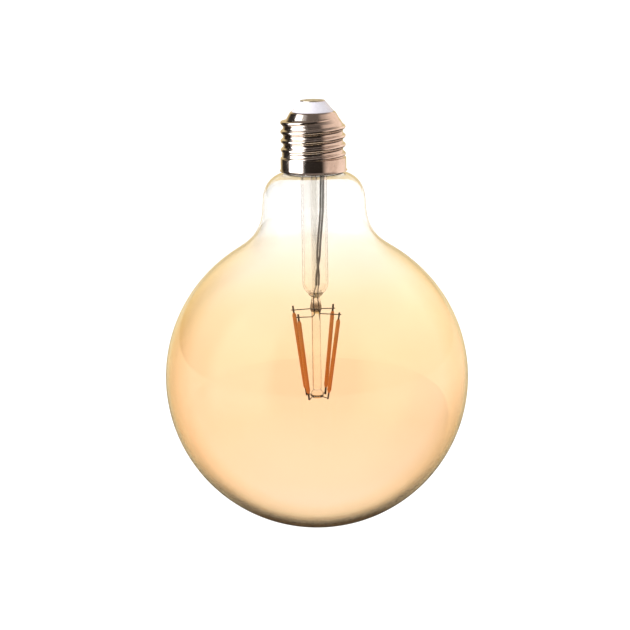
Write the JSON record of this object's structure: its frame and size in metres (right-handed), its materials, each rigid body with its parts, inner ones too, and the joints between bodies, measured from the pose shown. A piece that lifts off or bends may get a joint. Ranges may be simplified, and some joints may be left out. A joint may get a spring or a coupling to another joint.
{
  "type": "light bulb",
  "caption": "Globe light bulb with amber glass, filament strips on a glass stem and an E27 screw cap, made to hang cap up.",
  "frame": {"origin": "centre of the centre contact's outer face, on the lamp's axis", "axes": "+Z along the lamp's axis towards the lampholder, so the globe hangs below the origin; the view of the picture looks along +Y with +X to the right"},
  "size_m": [0.125, 0.125, 0.1769],
  "materials": {
    "amber_glass": "clear, amber tint",
    "clear_glass": "clear",
    "seal_glass": "clear, with wires fused in",
    "lead_wire": "drawn wire, oxidised",
    "sleeve": "woven sleeve, matte",
    "filament_coat": "soft silicone, matte",
    "filament_strip": "ceramic, matte",
    "filament_end": "satin",
    "cap_metal": "nickel plate",
    "insulator": "satin white",
    "contact_metal": "satin",
    "cement": "rough cement",
    "solder": "satin",
    "board": "satin",
    "black_package": "matte",
    "resistor_body": "lacquer",
    "capacitor_sleeve": "shrink sleeve",
    "coil_copper": "enamelled wire",
    "radio_board": "satin",
    "shield": "satin"
  },
  "bodies": {
    "root": {"glass_envelope": "amber_glass", "stem_tube": "clear_glass", "exhaust_tube": "clear_glass", "stem_seal": "seal_glass", "glass_pillar": "clear_glass", "pillar_button": "clear_glass", "lead_wire_left": "lead_wire", "lead_wire_right": "lead_wire", "lead_sleeve_left": "sleeve", "lead_sleeve_right": "sleeve", "top_jumper": "lead_wire", "foot_jumper_left": "lead_wire", "foot_jumper_right": "lead_wire", "filament_coat_back_right": "filament_coat", "filament_coat_back_left": "filament_coat", "filament_coat_front_left": "filament_coat", "filament_coat_front_right": "filament_coat", "filament_strip_back_right": "filament_strip", "filament_strip_back_left": "filament_strip", "filament_strip_front_left": "filament_strip", "filament_strip_front_right": "filament_strip", "filament_tab_top_back_right": "filament_end", "filament_tab_top_back_left": "filament_end", "filament_tab_top_front_left": "filament_end", "filament_tab_top_front_right": "filament_end", "filament_tab_foot_back_right": "filament_end", "filament_tab_foot_back_left": "filament_end", "filament_tab_foot_front_left": "filament_end", "filament_tab_foot_front_right": "filament_end", "cap_shell": "cap_metal", "cap_insulator": "insulator", "centre_contact": "contact_metal", "basing_cement": "cement", "centre_lead": "lead_wire", "side_lead": "lead_wire", "side_weld": "solder", "driver_board": "board", "fusible_resistor": "resistor_body", "bridge_rectifier": "black_package", "smoothing_capacitor": "capacitor_sleeve", "filter_coil": "coil_copper", "driver_chip": "black_package", "radio_board": "radio_board", "radio_shield": "shield"}
  },
  "joints": []
}
